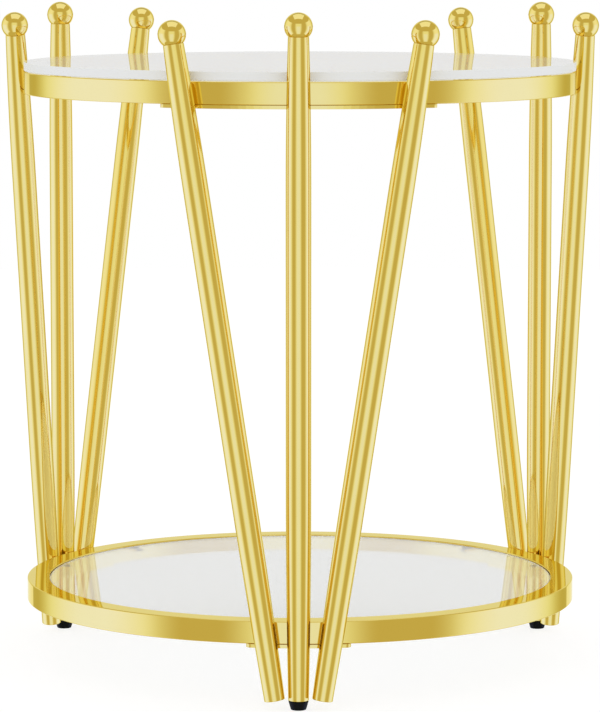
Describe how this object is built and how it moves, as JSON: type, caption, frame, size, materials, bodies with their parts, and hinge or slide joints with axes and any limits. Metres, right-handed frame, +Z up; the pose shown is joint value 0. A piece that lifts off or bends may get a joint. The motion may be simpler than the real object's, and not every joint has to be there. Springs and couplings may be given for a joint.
{
  "type": "side table",
  "caption": "Drum-shaped side table: slender gold tube legs with ball tops stand in groups round two gold rings, which carry a round glass top and a round glass shelf.",
  "frame": {"origin": "on the floor under the table's centre, level with the undersides of the three feet", "axes": "+Z up; -Y towards the front leg group; +X to the right, seen from the front"},
  "size_m": [0.5496, 0.5269, 0.5999],
  "materials": {
    "polished_gold": "polished gold plating on steel",
    "clear_glass": "clear tempered glass with ground edges",
    "black_plastic": "satin black",
    "zinc_steel": "bright zinc plating",
    "clear_silicone": "clear, soft",
    "dark_rubber": "matt, soft"
  },
  "bodies": {
    "table_frame": {"upper_ring": "polished_gold", "lower_ring": "polished_gold", "top_glass_pads": "clear_silicone", "shelf_tabs": "polished_gold", "shelf_pads": "dark_rubber", "upper_plate_screws": "zinc_steel", "lower_plate_screws": "zinc_steel", "upper_rivet_nuts": "zinc_steel", "lower_rivet_nuts": "zinc_steel", "front_upper_plate": "polished_gold", "front_lower_plate": "polished_gold", "front_foot_insert": "zinc_steel", "front_left_leg": "polished_gold", "front_left_finial": "polished_gold", "front_left_leg_cap": "polished_gold", "front_middle_leg": "polished_gold", "front_middle_finial": "polished_gold", "front_right_leg": "polished_gold", "front_right_finial": "polished_gold", "front_right_leg_cap": "polished_gold", "rear_left_upper_plate": "polished_gold", "rear_left_lower_plate": "polished_gold", "rear_left_foot_insert": "zinc_steel", "rear_left_left_leg": "polished_gold", "rear_left_left_finial": "polished_gold", "rear_left_left_leg_cap": "polished_gold", "rear_left_middle_leg": "polished_gold", "rear_left_middle_finial": "polished_gold", "rear_left_right_leg": "polished_gold", "rear_left_right_finial": "polished_gold", "rear_left_right_leg_cap": "polished_gold", "rear_right_upper_plate": "polished_gold", "rear_right_lower_plate": "polished_gold", "rear_right_foot_insert": "zinc_steel", "rear_right_left_leg": "polished_gold", "rear_right_left_finial": "polished_gold", "rear_right_left_leg_cap": "polished_gold", "rear_right_middle_leg": "polished_gold", "rear_right_middle_finial": "polished_gold", "rear_right_right_leg": "polished_gold", "rear_right_right_finial": "polished_gold", "rear_right_right_leg_cap": "polished_gold"},
    "top_panel": {"top_glass": "clear_glass"},
    "shelf_panel": {"shelf_glass": "clear_glass"},
    "front_foot": {"front_foot_pad": "black_plastic", "front_foot_stem": "zinc_steel"},
    "rear_left_foot": {"rear_left_foot_pad": "black_plastic", "rear_left_foot_stem": "zinc_steel"},
    "rear_right_foot": {"rear_right_foot_pad": "black_plastic", "rear_right_foot_stem": "zinc_steel"}
  },
  "joints": [
    {"name": "top_glass_lift", "type": "slide", "parent": "table_frame", "child": "top_panel", "axis": [0, 0, 1], "range_m": [0, 0.026]},
    {"name": "shelf_glass_lift", "type": "slide", "parent": "table_frame", "child": "shelf_panel", "axis": [0, 0, 1], "range_m": [0, 0.45]},
    {"name": "front_foot_screw", "type": "slide", "parent": "table_frame", "child": "front_foot", "axis": [0, 0, -1], "range_m": [0, 0.008]},
    {"name": "rear_left_foot_screw", "type": "slide", "parent": "table_frame", "child": "rear_left_foot", "axis": [0, 0, -1], "range_m": [0, 0.008]},
    {"name": "rear_right_foot_screw", "type": "slide", "parent": "table_frame", "child": "rear_right_foot", "axis": [0, 0, -1], "range_m": [0, 0.008]}
  ]
}
